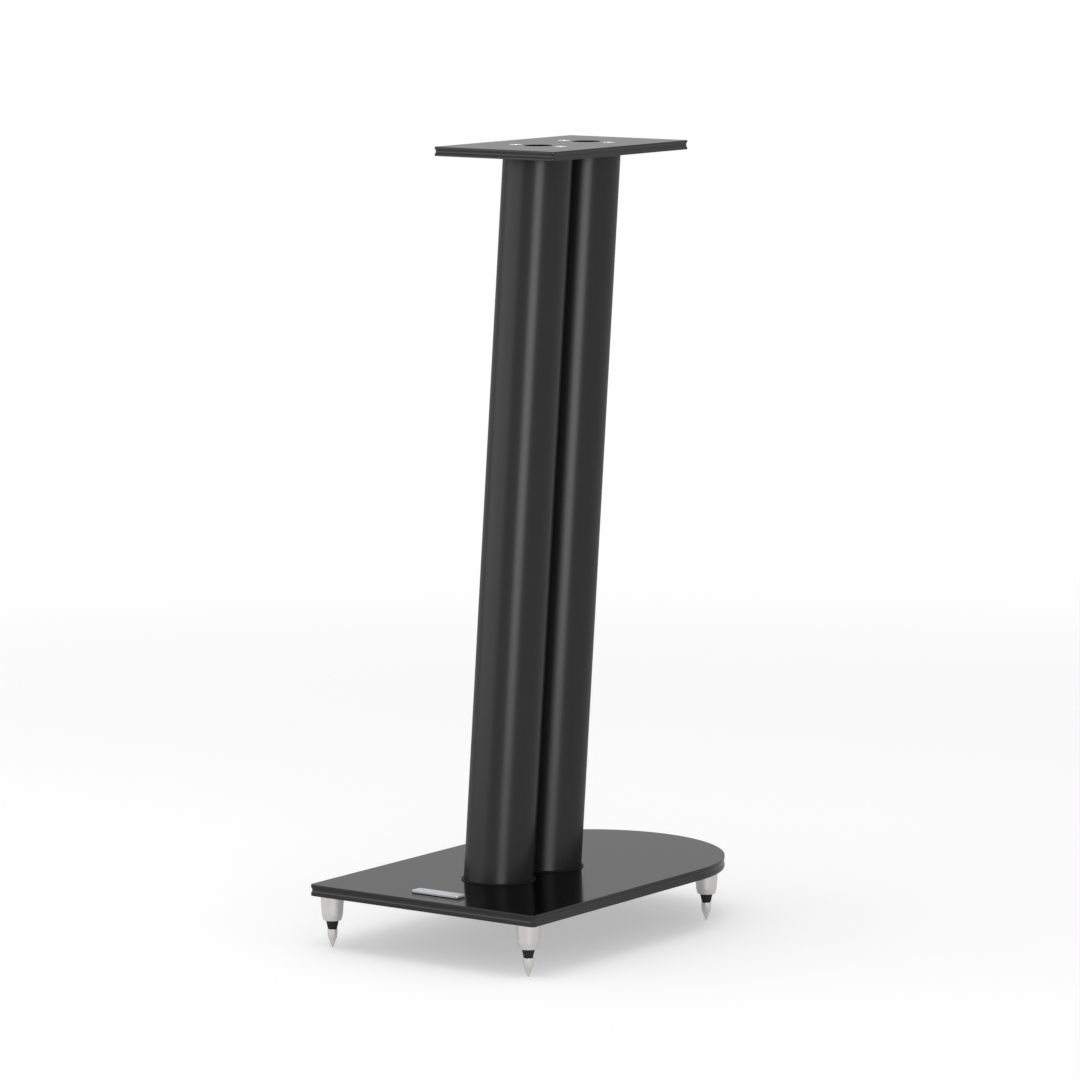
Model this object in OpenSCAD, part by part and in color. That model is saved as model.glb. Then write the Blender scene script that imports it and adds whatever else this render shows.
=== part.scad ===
// Speaker stand: two round columns, one behind the other, lean back between a D-shaped base
// plate and a small top plate. Four feet under the base end in spikes that screw in and out.
// The origin lies on the floor under the middle of the base. The front faces -Y and +Z is up.

/* [Stand] */
// Height of the top plate's upper face above the floor
stand_h = 686; // [560:1:800]
// Distance that the column tops lie behind the column feet
setback = 58.8; // [0:0.2:80]

/* [Base plate] */
// Width between the straight sides, which is also the diameter of the rear curve
base_w = 236.7; // [210:0.1:300]
// Length of a straight side, from the front edge to the centre of the rear curve
base_side = 253.6; // [220:0.2:320]
// Thickness of the base plate
base_t = 10; // [9:0.5:16]
// Radius of the two front corners
base_corner_r = 4; // [2:0.5:20]

/* [Top plate] */
// Width of the top plate, from side to side
top_w = 126; // [110:1:180]
// Length of the top plate, from front to back
top_l = 204; // [190:1:280]
// Thickness of the top plate
top_t = 8; // [7:0.5:12]
// Radius of its four corners
top_corner_r = 3; // [2:0.5:12]

/* [Plate edges] */
// Width of the cove that runs round the middle of each plate's edge
cove_w = 5; // [2:0.5:5]
// Depth of that cove
cove_d = 1; // [0.4:0.1:1.4]
// Bevel along each plate's upper and lower edge
arris = 0.5; // [0.2:0.1:0.9]

/* [Columns] */
// Outer diameter of each tube
column_d = 60.3; // [54:0.1:66]
// Wall thickness of each tube
column_wall = 2.6; // [2:0.1:4]
// Distance between the two centre lines, measured level
column_spacing = 71.9; // [71.2:0.1:90]
// Distance from the base's front edge to the middle of the pair, at the column feet
column_back = 150.3; // [120:0.1:180]
// Thickness of the ring under each tube
seat_t = 1; // [0.5:0.1:6]
// Distance that the ring stands out beyond the tube
seat_lip = 2; // [0:0.5:2.5]
// Height of the plug that closes each end of a tube
plug_h = 16; // [15:1:30]
// Diameter of the filler hole through the top plate and the upper plug
filler_d = 25; // [16:1:26]

/* [Top plate screws] */
// Thread diameter of the countersunk screws in the top plate
top_screw_d = 6; // [4:0.5:6.5]
// Diameter of their heads
top_screw_head_d = 11.6; // [9:0.2:12]
// Length of those screws, head included
top_screw_len = 20; // [16:1:22]
// Distance from the tube's inner wall to each screw's centre line
top_screw_edge = 4; // [3.5:0.1:4.5]
// Width across the flats of the key socket in their heads
top_socket_w = 4; // [2.5:0.5:5]

/* [Base screws] */
// Thread diameter of the countersunk screws under the base
base_screw_d = 6; // [5:1:8]
// Diameter of their heads
base_screw_head_d = 12; // [10:0.2:15]
// Length of those screws, head included
base_screw_len = 20; // [16:1:24]
// Distance from the tube's inner wall to each screw's centre line
base_screw_edge = 9.5; // [6:0.5:12]
// Width across the flats of the key socket in their heads
base_socket_w = 4; // [3:0.5:5]

/* [Badge bar] */
// Length of the bare bar, from side to side
badge_w = 49; // [30:1:90]
// Width of the bar, from front to back
badge_l = 12.5; // [8:0.5:16]
// Thickness of the bar
badge_t = 2.2; // [1:0.1:3]
// Thickness of the adhesive pad under the bar
badge_pad_t = 0.3; // [0.2:0.1:0.8]
// Distance from the base's front edge to the bar's front edge
badge_back = 20.5; // [12:0.5:30]

/* [Feet] */
// Distance from the base's sides and rear curve to each foot's centre line
foot_side_inset = 14.8; // [12:0.1:24]
// Distance from the base's front edge to the centre lines of the front feet
foot_front_inset = 13.4; // [12:0.1:24]
// Angle of the rear feet round the rear curve, from the line across its centre
rear_foot_angle = 24.5; // [10:0.5:50]
// Height of a foot's aluminium body
foot_body_h = 21.4; // [21:0.1:32]
// Diameter of the body where it meets the base
foot_body_d = 20.6; // [19:0.2:24]
// Diameter of the body at the top of its tapered end
foot_shoulder_d = 18.3; // [16.6:0.1:18.8]
// Diameter of the body's lower face
foot_end_d = 15.8; // [12:0.1:16.4]
// Height of the tapered end
foot_end_h = 4.7; // [1:0.1:8]
// Height of the black ring below the body
collar_h = 7.8; // [4:0.1:10]
// Diameter of the ring's upper face
collar_top_d = 11.4; // [9.5:0.1:11.8]
// Diameter of the ring's lower face
collar_low_d = 7.9; // [6.8:0.1:8.6]

/* [Spikes] */
// Height of a spike below the ring
spike_h = 16.8; // [15:0.1:24]
// Diameter of the spike below the ring
spike_d = 8.8; // [8:0.1:10]
// Height of the straight cone above the tip
cone_h = 8.3; // [6:0.1:9]
// Diameter at the top of the straight cone
cone_d = 7.1; // [5:0.1:7.4]
// Diameter of the blunt tip
tip_d = 0.6; // [0.4:0.1:1]
// Diameter of the plain neck inside the ring
neck_d = 5; // [4:0.1:5]
// Thread diameter of the spike
spike_thread_d = 6; // [5.2:0.1:7]
// Length of the spike's thread
spike_thread_len = 12.5; // [9:0.5:13]

/* [Foot studs] */
// Thread diameter of the stud that holds a foot body to the base
stud_d = 8; // [6:1:8]
// Length of the stud inside the base
stud_in_base = 6.5; // [5:0.5:7]
// Length of the stud inside the foot body
stud_in_body = 6; // [4:0.5:6]
// Width across the flats of the key socket in the stud
stud_socket_w = 4; // [2.5:0.5:4]

/* [Hidden] */
$fn = 96;

// Clearances
thread_fit = 0.05;     // round a thread or a running shaft, on the radius
plug_fit = 0.05;       // between a plug and its tube, on the radius
screw_hole_gap = 0.3;  // round a screw's shank in a plain hole, on the radius
head_gap = 0.1;        // round a countersunk head, on the radius
head_sink = 0.05;      // depth of a head below the face
blind_gap = 1;         // between a thread's end and the end of its blind hole
overrun = 1;           // by which a cut passes through a face

// Small features of the fasteners and the badge bar
head_rim = 0.3;        // straight rim above a countersunk head's cone
socket_depth = 2;      // depth of a key socket
thread_bevel = 0.6;    // bevel at the end of a thread
badge_bevel = 0.3;     // bevel along the badge bar's edges
badge_corner_r = 2.5;  // corner radius of the badge bar
pad_inset = 0.8;       // inset of the adhesive pad from the bar's edges
spike_bevel = 0.3;     // bevel at the top of the spike's shoulder
shoulder_h = 14.5;     // height at which the spike reaches its full diameter
bend_steps = 6;        // steps in the curve from the cone to the full diameter

// Heights
base_low = spike_h + collar_h + foot_body_h;
base_top = base_low + base_t;
top_low = stand_h - top_t;
column_low = base_top + seat_t;
lower_plug_top = column_low + plug_h;
upper_plug_low = top_low - plug_h;
body_low = spike_h + collar_h;

// Places on the base
front_y = -(base_side + base_w / 2) / 2;
curve_y = front_y + base_side;
foot_reach = base_w / 2 - foot_side_inset;
front_left = [-foot_reach, front_y + foot_front_inset];
front_right = [foot_reach, front_y + foot_front_inset];
rear_right = [foot_reach * cos(rear_foot_angle), curve_y + foot_reach * sin(rear_foot_angle)];
rear_left = [-rear_right.x, rear_right.y];
FEET = [front_left, front_right, rear_left, rear_right];

// Columns
rise = top_low - base_top;
lean = atan(setback / rise);
front_foot_y = front_y + column_back - column_spacing / 2;
rear_foot_y = front_foot_y + column_spacing;
bore_r = column_d / 2 - column_wall;
top_screw_x = bore_r - top_screw_edge;
base_screw_x = bore_r - base_screw_edge;
front_head_y = axis_y(front_foot_y, top_low);
rear_head_y = axis_y(rear_foot_y, top_low);
top_mid_y = (front_head_y + rear_head_y) / 2;

// Place of a column's centre line at a height
function axis_y(foot_y, z) = foot_y + setback * (z - base_top) / rise;

// Radius of the circle that cuts a cove of a given width and depth
function cove_radius(width, depth) = (pow(width / 2, 2) + pow(depth, 2)) / (2 * depth);

// Points of a curve that leaves a towards b and arrives at c from b
function bend(a, b, c, steps) =
    [for (i = [0:steps]) let (t = i / steps) pow(1 - t, 2) * a + 2 * t * (1 - t) * b + pow(t, 2) * c];

// Half of a plate's section, from a line inside the plate out to its edge
module edge_section(reach, t, bevel, groove_w, groove_d) {
    difference() {
        polygon([
            [0, 0], [reach - bevel, 0], [reach, bevel],
            [reach, t - bevel], [reach - bevel, t], [0, t]
        ]);
        if (groove_d > 0) {
            groove_r = cove_radius(groove_w, groove_d);
            translate([reach + groove_r - groove_d, t / 2]) circle(r = groove_r);
        }
    }
}

// Plate with rounded corners and one section all round. It reaches from y = 0 to y = l and is
// centred on x = 0. A rear radius of half the width makes the rear a half circle.
module edged_plate(w, l, t, front_r, rear_r, bevel, groove_w = 0, groove_d = 0) {
    module strip(reach) {
        edge_section(reach, t, bevel, groove_w, groove_d);
    }
    module corner(reach, turn) {
        rotate([0, 0, turn]) rotate_extrude(angle = 90) strip(reach);
    }
    front_run = w - 2 * front_r;
    rear_run = w - 2 * rear_r;
    side_run = l - front_r - rear_r;
    // both sides and all between them
    translate([0, l - rear_r, 0]) rotate([90, 0, 0]) linear_extrude(side_run) {
        strip(w / 2);
        mirror([1, 0]) strip(w / 2);
    }
    // front edge
    translate([front_run / 2, front_r, 0]) rotate([90, 0, -90])
        linear_extrude(front_run) strip(front_r);
    // rear edge
    if (rear_run > 0)
        translate([-rear_run / 2, l - rear_r, 0]) rotate([90, 0, 90])
            linear_extrude(rear_run) strip(rear_r);
    translate([front_run / 2, front_r, 0]) corner(front_r, -90);
    translate([-front_run / 2, front_r, 0]) corner(front_r, 180);
    translate([rear_run / 2, l - rear_r, 0]) corner(rear_r, 0);
    translate([-rear_run / 2, l - rear_r, 0]) corner(rear_r, 90);
}

// Hexagonal prism for a key socket, by its width across the flats
module key_socket(width, depth) {
    cylinder(d = width / cos(30), h = depth, $fn = 6);
}

// Countersunk screw that hangs from the middle of its head's top face
module countersunk_screw(d, head_d, len, socket_w) {
    shank_r = d / 2;
    head_r = head_d / 2;
    cone_end = head_rim + head_r - shank_r;
    difference() {
        rotate_extrude() polygon([
            [0, 0], [head_r, 0], [head_r, -head_rim], [shank_r, -cone_end],
            [shank_r, thread_bevel - len], [shank_r - thread_bevel, -len], [0, -len]
        ]);
        translate([0, 0, -socket_depth]) key_socket(socket_w, socket_depth + overrun);
    }
}

// Countersunk hole that starts at a face and goes down through a thickness
module countersunk_hole(d, head_d, thickness) {
    hole_r = d / 2 + screw_hole_gap;
    mouth_r = head_d / 2 + head_gap;
    rim_end = head_sink + head_rim;
    rotate_extrude() polygon([
        [0, overrun], [mouth_r, overrun], [mouth_r, -rim_end],
        [hole_r, -rim_end - mouth_r + hole_r],
        [hole_r, -thickness - overrun], [0, -thickness - overrun]
    ]);
}

// Round bar along a column's centre line, cut level at its lower and upper end
module leaning_bar(r, foot_y, low, high) {
    margin = column_d;
    intersection() {
        translate([0, foot_y, base_top]) rotate([-lean, 0, 0])
            translate([0, 0, -margin]) cylinder(r = r, h = rise / cos(lean) + 2 * margin);
        translate([-column_d, axis_y(foot_y, low) - column_d, low])
            cube([2 * column_d, 2 * column_d + setback, high - low]);
    }
}

// Puts a child at the two screw places over or under a column
module screw_pair(x, y) {
    for (side = [-1, 1]) translate([side * x, y, 0]) children();
}

module top_plate() {
    color("#2b2c2e") difference() {
        translate([0, top_mid_y - top_l / 2, top_low])
            edged_plate(top_w, top_l, top_t, top_corner_r, top_corner_r, arris, cove_w, cove_d);
        for (y = [front_head_y, rear_head_y]) {
            translate([0, y, top_low - overrun])
                cylinder(d = filler_d, h = top_t + 2 * overrun);
            screw_pair(top_screw_x, y) translate([0, 0, stand_h])
                countersunk_hole(top_screw_d, top_screw_head_d, top_t);
        }
    }
}

module top_plate_screws() {
    color("#d6d8da") for (y = [front_head_y, rear_head_y])
        screw_pair(top_screw_x, y) translate([0, 0, stand_h - head_sink])
            countersunk_screw(top_screw_d, top_screw_head_d, top_screw_len, top_socket_w);
}

module column(foot_y) {
    color("#2e2f31") difference() {
        leaning_bar(column_d / 2, foot_y, column_low, top_low);
        leaning_bar(bore_r, foot_y, column_low - overrun, top_low + overrun);
    }
}

module upper_plug(foot_y) {
    head_y = axis_y(foot_y, top_low);
    color("#55585c") difference() {
        leaning_bar(bore_r - plug_fit, foot_y, upper_plug_low, top_low);
        translate([0, head_y, upper_plug_low - overrun])
            cylinder(d = filler_d, h = plug_h + 2 * overrun);
        screw_pair(top_screw_x, head_y) translate([0, 0, upper_plug_low - overrun])
            cylinder(r = top_screw_d / 2 + thread_fit, h = plug_h + 2 * overrun);
    }
}

module lower_plug(foot_y) {
    hole_top = base_low + head_sink + base_screw_len + blind_gap;
    color("#55585c") difference() {
        leaning_bar(bore_r - plug_fit, foot_y, column_low, lower_plug_top);
        screw_pair(base_screw_x, foot_y) translate([0, 0, column_low - overrun])
            cylinder(r = base_screw_d / 2 + thread_fit, h = hole_top - column_low + overrun);
    }
}

module column_ring(foot_y) {
    color("#161617") translate([0, foot_y, base_top]) difference() {
        cylinder(d = column_d + 2 * seat_lip, h = seat_t);
        screw_pair(base_screw_x, 0) translate([0, 0, -overrun])
            cylinder(r = base_screw_d / 2 + screw_hole_gap, h = seat_t + 2 * overrun);
    }
}

module base_plate() {
    color("#2b2c2e") difference() {
        translate([0, front_y, base_low])
            edged_plate(base_w, base_side + base_w / 2, base_t, base_corner_r, base_w / 2,
                arris, cove_w, cove_d);
        for (y = [front_foot_y, rear_foot_y])
            screw_pair(base_screw_x, y) translate([0, 0, base_low]) mirror([0, 0, 1])
                countersunk_hole(base_screw_d, base_screw_head_d, base_t);
        for (foot = FEET) translate([foot.x, foot.y, base_low - overrun])
            cylinder(r = stud_d / 2 + thread_fit, h = stud_in_base + blind_gap + overrun);
    }
}

module base_screws() {
    color("#8a8d91") for (y = [front_foot_y, rear_foot_y])
        screw_pair(base_screw_x, y) translate([0, 0, base_low + head_sink]) mirror([0, 0, 1])
            countersunk_screw(base_screw_d, base_screw_head_d, base_screw_len, base_socket_w);
}

module badge_bar() {
    color("#c9cbcd") translate([0, front_y + badge_back, base_top + badge_pad_t])
        edged_plate(badge_w, badge_l, badge_t, badge_corner_r, badge_corner_r, badge_bevel);
}

module badge_pad() {
    color("#3a3a3c") translate([pad_inset - badge_w / 2, front_y + badge_back + pad_inset, base_top])
        cube([badge_w - 2 * pad_inset, badge_l - 2 * pad_inset, badge_pad_t]);
}

module foot_studs() {
    color("#8a8d91") for (foot = FEET)
        translate([foot.x, foot.y, base_low - stud_in_body]) difference() {
            rotate_extrude() polygon([
                [0, 0], [stud_d / 2 - thread_bevel, 0], [stud_d / 2, thread_bevel],
                [stud_d / 2, stud_in_body + stud_in_base - thread_bevel],
                [stud_d / 2 - thread_bevel, stud_in_body + stud_in_base],
                [0, stud_in_body + stud_in_base]
            ]);
            translate([0, 0, -overrun]) key_socket(stud_socket_w, socket_depth + overrun);
        }
}

module foot_body(place) {
    color("#c4c7ca") translate([place.x, place.y, body_low]) difference() {
        rotate_extrude() polygon([
            [0, 0], [foot_end_d / 2, 0], [foot_shoulder_d / 2, foot_end_h],
            [foot_body_d / 2, foot_body_h], [0, foot_body_h]
        ]);
        translate([0, 0, -overrun])
            cylinder(r = spike_thread_d / 2 + thread_fit,
                h = spike_thread_len + blind_gap + overrun);
        translate([0, 0, foot_body_h - stud_in_body])
            cylinder(r = stud_d / 2 + thread_fit, h = stud_in_body + overrun);
    }
}

module collar(place) {
    color("#1a1a1b") translate([place.x, place.y, spike_h]) difference() {
        cylinder(d1 = collar_low_d, d2 = collar_top_d, h = collar_h);
        translate([0, 0, -overrun])
            cylinder(r = neck_d / 2 + thread_fit, h = collar_h + 2 * overrun);
    }
}

module spike(place) {
    slope = (cone_d - tip_d) / 2 / cone_h;
    meet_h = cone_h + (spike_d - cone_d) / 2 / slope;
    thread_r = spike_thread_d / 2;
    thread_top = body_low + spike_thread_len;
    curve = bend([cone_d / 2, cone_h], [spike_d / 2, meet_h], [spike_d / 2, shoulder_h], bend_steps);
    color("#d3d5d8") translate([place.x, place.y, 0]) rotate_extrude() polygon(concat(
        [[0, 0], [tip_d / 2, 0]],
        curve,
        [
            [spike_d / 2, spike_h - spike_bevel], [spike_d / 2 - spike_bevel, spike_h],
            [neck_d / 2, spike_h], [neck_d / 2, body_low],
            [thread_r, body_low], [thread_r, thread_top - thread_bevel],
            [thread_r - thread_bevel, thread_top], [0, thread_top]
        ]
    ));
}

top_plate();
top_plate_screws();
column(front_foot_y);  // front_column
column(rear_foot_y);  // rear_column
upper_plug(front_foot_y);  // front_upper_plug
upper_plug(rear_foot_y);  // rear_upper_plug
lower_plug(front_foot_y);  // front_lower_plug
lower_plug(rear_foot_y);  // rear_lower_plug
column_ring(front_foot_y);  // front_column_ring
column_ring(rear_foot_y);  // rear_column_ring
base_plate();
base_screws();
badge_bar();
badge_pad();
foot_studs();
foot_body(front_left);  // front_left_foot
foot_body(front_right);  // front_right_foot
foot_body(rear_left);  // rear_left_foot
foot_body(rear_right);  // rear_right_foot
collar(front_left);  // front_left_collar
collar(front_right);  // front_right_collar
collar(rear_left);  // rear_left_collar
collar(rear_right);  // rear_right_collar
spike(front_left);  // front_left_spike
spike(front_right);  // front_right_spike
spike(rear_left);  // rear_left_spike
spike(rear_right);  // rear_right_spike
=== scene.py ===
"""Looks of a speaker stand: two round columns lean back between a small top plate and a D-shaped
base plate on four spiked feet. Everything is in metres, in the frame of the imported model."""

import math

import bmesh
import bpy
from bpy.props import FloatProperty, FloatVectorProperty, IntProperty, PointerProperty
from mathutils import Matrix, Vector


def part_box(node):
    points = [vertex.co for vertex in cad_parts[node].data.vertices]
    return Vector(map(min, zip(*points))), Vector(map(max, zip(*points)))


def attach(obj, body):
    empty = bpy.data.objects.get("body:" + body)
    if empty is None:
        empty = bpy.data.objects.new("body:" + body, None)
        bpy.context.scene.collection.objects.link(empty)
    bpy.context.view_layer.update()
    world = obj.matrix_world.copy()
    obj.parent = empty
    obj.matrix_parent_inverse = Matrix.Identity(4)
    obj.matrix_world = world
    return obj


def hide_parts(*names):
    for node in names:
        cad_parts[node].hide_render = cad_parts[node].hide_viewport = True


bl_info = {
    "name": "Speaker stand",
    "version": (1, 0, 0),
    "blender": (4, 5, 0),
    "location": "3D View > Sidebar > Speaker stand",
    "description": "Makes the painted, turned and plated pieces of a speaker stand round its frame",
    "category": "Add Mesh",
}

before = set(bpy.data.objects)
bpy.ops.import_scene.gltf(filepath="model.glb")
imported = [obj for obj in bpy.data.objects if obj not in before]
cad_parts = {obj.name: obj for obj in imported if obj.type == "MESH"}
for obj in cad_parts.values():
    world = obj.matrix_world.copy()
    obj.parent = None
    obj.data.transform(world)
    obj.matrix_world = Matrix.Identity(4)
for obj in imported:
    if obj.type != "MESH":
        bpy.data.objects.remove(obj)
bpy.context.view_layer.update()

UP = Vector((0, 0, 1))
FEET = ("front_left", "front_right", "rear_left", "rear_right")
COLUMNS = ("front", "rear")
MERGE = 1e-6  # corners nearer than this are one corner
LEVEL = 1e-5  # heights nearer than this are one level
SHARP = math.radians(30)  # an edge that turns by more than this is drawn sharp
QUARTER = math.pi / 2
STILL = (0, 0, 0)


def linear(code):
    """The linear colour of an sRGB hex code such as 'c8cacc'."""
    shares = [int(code[i : i + 2], 16) / 255 for i in (0, 2, 4)]
    return [s / 12.92 if s <= 0.04045 else ((s + 0.055) / 1.055) ** 2.4 for s in shares]


def length(name, description, default):
    """A setting in metres."""
    return FloatProperty(name=name, description=description, default=default, min=0, unit="LENGTH")


def count(name, description, default):
    """A setting for the number of flat faces in a full turn."""
    return IntProperty(name=name, description=description, default=default, min=16)


def strength(name, description, default):
    """A setting for a brightness, or for a share of full white."""
    return FloatProperty(name=name, description=description, default=default, min=0)


def colour(name, description, code):
    """A colour setting, from an sRGB hex code."""
    return FloatVectorProperty(
        name=name, description=description, default=linear(code), subtype="COLOR", min=0, max=1
    )


class StandSizes(bpy.types.PropertyGroup):
    """Sizes that the frame's boxes don't give."""

    arris: length("Arris", "Rounding along the upper and lower edge of each plate", 0.0005)
    cove_width: length("Cove width", "Width of the cove round each plate's edge", 0.005)
    cove_depth: length("Cove depth", "Depth of the cove round each plate's edge", 0.001)
    base_corner: length("Base corners", "Radius of the base plate's front corners", 0.004)
    top_corner: length("Top corners", "Radius of the top plate's corners", 0.003)
    filler: length("Filler hole", "Diameter of the filler hole over each column", 0.025)
    filler_arris: length("Filler edge", "Rounding round each filler hole", 0.0002)
    tube_wall: length("Tube wall", "Wall thickness of the columns", 0.0026)
    tube_end: length("Tube end", "Bevel round each end of a column", 0.0003)
    ring_round: length("Ring edge", "Rounding round the ring under each column", 0.0003)
    top_screw: length("Top screw", "Thread diameter of the top plate's screws", 0.006)
    top_screw_head: length("Top screw head", "Diameter of their heads", 0.0116)
    top_socket: length("Top screw socket", "Width across the flats of their sockets", 0.004)
    base_screw: length("Base screw", "Thread diameter of the base plate's screws", 0.006)
    base_screw_head: length("Base screw head", "Diameter of their heads", 0.012)
    base_socket: length("Base screw socket", "Width across the flats of their sockets", 0.004)
    socket_depth: length("Socket depth", "Depth of a screw's socket", 0.002)
    socket_lead: length("Socket lead-in", "Width of the bevel round a socket's mouth", 0.0003)
    head_rim: length("Head rim", "Straight rim above a countersunk head's cone", 0.0003)
    head_sink: length("Head sink", "Depth of a head below the plate's face", 0.00005)
    head_gap: length("Head gap", "Gap round a countersunk head", 0.0001)
    shank_lead: length("Shank lead-in", "Width of the bevel at a screw's end", 0.0006)
    shank_gap: length("Shank gap", "Gap round a screw in a plain hole", 0.0003)
    thread_gap: length("Thread gap", "Gap round a thread in its hole", 0.00005)
    badge_corner: length("Badge corners", "Corner radius of the badge bar", 0.0025)
    badge_arris: length("Badge edge", "Rounding along the badge bar's edges", 0.0004)
    stud: length("Stud", "Thread diameter of the stud above each foot", 0.008)
    stud_hole: length("Stud hole", "Depth of the stud's hole in the base plate", 0.0075)
    body_stud_hole: length("Foot stud hole", "Depth of the stud's hole in a foot", 0.006)
    shoulder: length("Foot shoulder", "Diameter of a foot at the top of its tapered end", 0.0183)
    foot_end: length("Foot end", "Diameter of a foot's lower face", 0.0158)
    foot_end_height: length("Foot end height", "Height of a foot's tapered end", 0.0047)
    foot_round: length("Foot rounding", "Rounding of a foot's shoulder and lower edge", 0.0009)
    spike_hole: length("Spike hole", "Depth of the spike's hole in a foot", 0.0135)
    collar_low: length("Collar low", "Diameter of the black ring's lower face", 0.0079)
    collar_round: length("Collar edge", "Rounding of the black ring's edges", 0.0005)
    neck: length("Neck", "Diameter of the spike inside the black ring", 0.005)
    spike_thread: length("Spike thread", "Thread diameter of a spike", 0.006)
    pitch: length("Thread pitch", "Rise of a spike's thread in one turn", 0.001)
    thread_depth: length("Thread depth", "Depth of a spike's thread", 0.00044)
    thread_crest: length("Thread crest", "Width of the flat crest of a spike's thread", 0.0001)
    spike_round: length("Spike shoulder", "Rounding of a spike's shoulder", 0.0003)
    cone: length("Cone", "Diameter of a spike at the top of its straight cone", 0.0071)
    cone_height: length("Cone height", "Height of the straight cone", 0.0083)
    tip: length("Tip", "Diameter of a spike's blunt tip", 0.0006)
    full_height: length("Full height", "Height at which a spike is at its full diameter", 0.0145)
    facets: count("Facets", "Flat faces in a full turn of a large round", 128)
    small_facets: count("Small facets", "Flat faces in a full turn of a small round", 64)
    thread_facets: count("Thread facets", "Flat faces in a full turn of a spike's thread", 32)


class StandColours(bpy.types.PropertyGroup):
    """Base colours of the finishes."""

    lacquer: colour("Plate lacquer", "Satin black lacquer of the two plates", "060607")
    powder: colour("Column coat", "Black powder coat of the two columns", "18181a")
    rubber: colour("Soft rubber", "Black rubber of the rings under the columns", "08080a")
    hard_rubber: colour("Hard rubber", "Dark rubber of the collars below the feet", "1e1e1f")
    foam: colour("Foam", "Black foam of the badge bar's pad", "1d1d1e")
    aluminium: colour("Turned aluminium", "Aluminium of the foot bodies", "c2c1c0")
    badge: colour("Brushed aluminium", "Aluminium of the badge bar", "bcbdbf")
    nickel: colour("Nickel plate", "Bright plate of the spikes", "c8c7c5")
    zinc: colour("Zinc plate", "Bright plate of the screws and studs", "d4d7da")
    steel: colour("Bare steel", "Turned steel of the plugs", "8e9194")
    floor: colour("Floor", "Pale floor under the stand", "e0e0e0")


class StandStudio(bpy.types.PropertyGroup):
    """Light round the stand."""

    ambient: strength("Ambient", "Strength of the light from all round", 0.6)
    key: strength("Key", "Brightness of the soft light at the left", 1.15)
    front: strength("Front", "Brightness of the soft light near the camera", 5.9)
    overhead: strength("Overhead", "Brightness of the soft light above", 1.6)
    floor_lift: strength("Floor lift", "Share that lifts the seen floor to white", 0.37)


# Materials


def add_node(tree, kind, inputs=None, **settings):
    """Adds a node, with its own settings, and fills its inputs with values or links."""
    node = tree.nodes.new(kind)
    for name, value in settings.items():
        setattr(node, name, value)
    for key, value in (inputs or {}).items():
        if isinstance(value, bpy.types.NodeSocket):
            tree.links.new(value, node.inputs[key])
        else:
            node.inputs[key].default_value = value
    return node


def per_mm(size):
    """The scale of a pattern whose features are that many millimetres apart."""
    return 1000 / size


def start_material(name):
    """A new material's tree, its surface shader and its object coordinates."""
    made = bpy.data.materials.new(name)
    made.use_nodes = True
    tree = made.node_tree
    tree.nodes.clear()
    shader = add_node(tree, "ShaderNodeBsdfPrincipled")
    add_node(tree, "ShaderNodeOutputMaterial", {"Surface": shader.outputs["BSDF"]})
    place = add_node(tree, "ShaderNodeTexCoord").outputs["Object"]
    return made, tree, shader, place


def shades(base, share):
    """A darker and a lighter shade of a colour, a share to either side of it."""
    return [[min(1, c * (1 + side * share)) for c in base] + [1] for side in (-1, 1)]


def grained(name, base, drift, cloud, grain, roughness, relief, values, stretch=(1, 1, 1)):
    """A surface whose colour drifts by a share of itself over clouds that many millimetres wide.
    Its grain has a width in millimetres, a lowest and a highest roughness, a depth in metres and
    a stretch along each axis. The values go to the shader's own sockets."""
    made, tree, shader, place = start_material(name)
    clouds = add_node(
        tree, "ShaderNodeTexNoise", {"Vector": place, "Scale": per_mm(cloud), "Detail": 3.0}
    )
    dark, light = shades(base, drift)
    tone = add_node(
        tree, "ShaderNodeMix", {"Factor": clouds.outputs["Fac"], "A": dark, "B": light},
        data_type="RGBA",
    )
    tree.links.new(tone.outputs["Result"], shader.inputs["Base Color"])
    along = add_node(
        tree, "ShaderNodeMapping", {"Vector": place, "Scale": [1 / s for s in stretch]},
        vector_type="POINT",
    )
    grains = add_node(
        tree, "ShaderNodeTexNoise",
        {"Vector": along.outputs["Vector"], "Scale": per_mm(grain), "Detail": 2.0},
    )
    gloss = add_node(
        tree, "ShaderNodeMapRange",
        {"Value": grains.outputs["Fac"], "To Min": roughness[0], "To Max": roughness[1]},
    )
    tree.links.new(gloss.outputs["Result"], shader.inputs["Roughness"])
    bump = add_node(
        tree, "ShaderNodeBump",
        {"Height": grains.outputs["Fac"], "Strength": 1.0, "Distance": relief},
    )
    for socket in ("Normal", "Coat Normal"):
        tree.links.new(bump.outputs["Normal"], shader.inputs[socket])
    for key, value in values.items():
        shader.inputs[key].default_value = value
    return made


def satin_lacquer(base):
    """Satin black lacquer, sprayed and rubbed down: a dull, nearly black body under a thin clear
    coat, whose soft reflection grows at a low angle, with the faint orange peel of a spray gun."""
    coat = {
        "Specular IOR Level": 0.0,
        "Coat Weight": 0.46,
        "Coat Roughness": 0.14,
        "Coat IOR": 1.75,
    }
    return grained(
        "satin_black_lacquer", base, drift=0.2, cloud=70, grain=2.2, roughness=(0.5, 0.56),
        relief=0.000002, values=coat,
    )


def powder_coat(base):
    """Fine-texture black powder coat, baked on: soft streaks of light, no clear reflection, and a
    fine even grain. The grain of 0.4 mm is drawn at 1 mm so that it shows."""
    coat = {
        "Specular IOR Level": 0.0,
        "Coat Weight": 0.31,
        "Coat Roughness": 0.28,
        "Coat IOR": 1.8,
    }
    return grained(
        "black_powder_coat", base, drift=0.12, cloud=45, grain=1, roughness=(0.55, 0.65),
        relief=0.000008, values=coat,
    )


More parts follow.
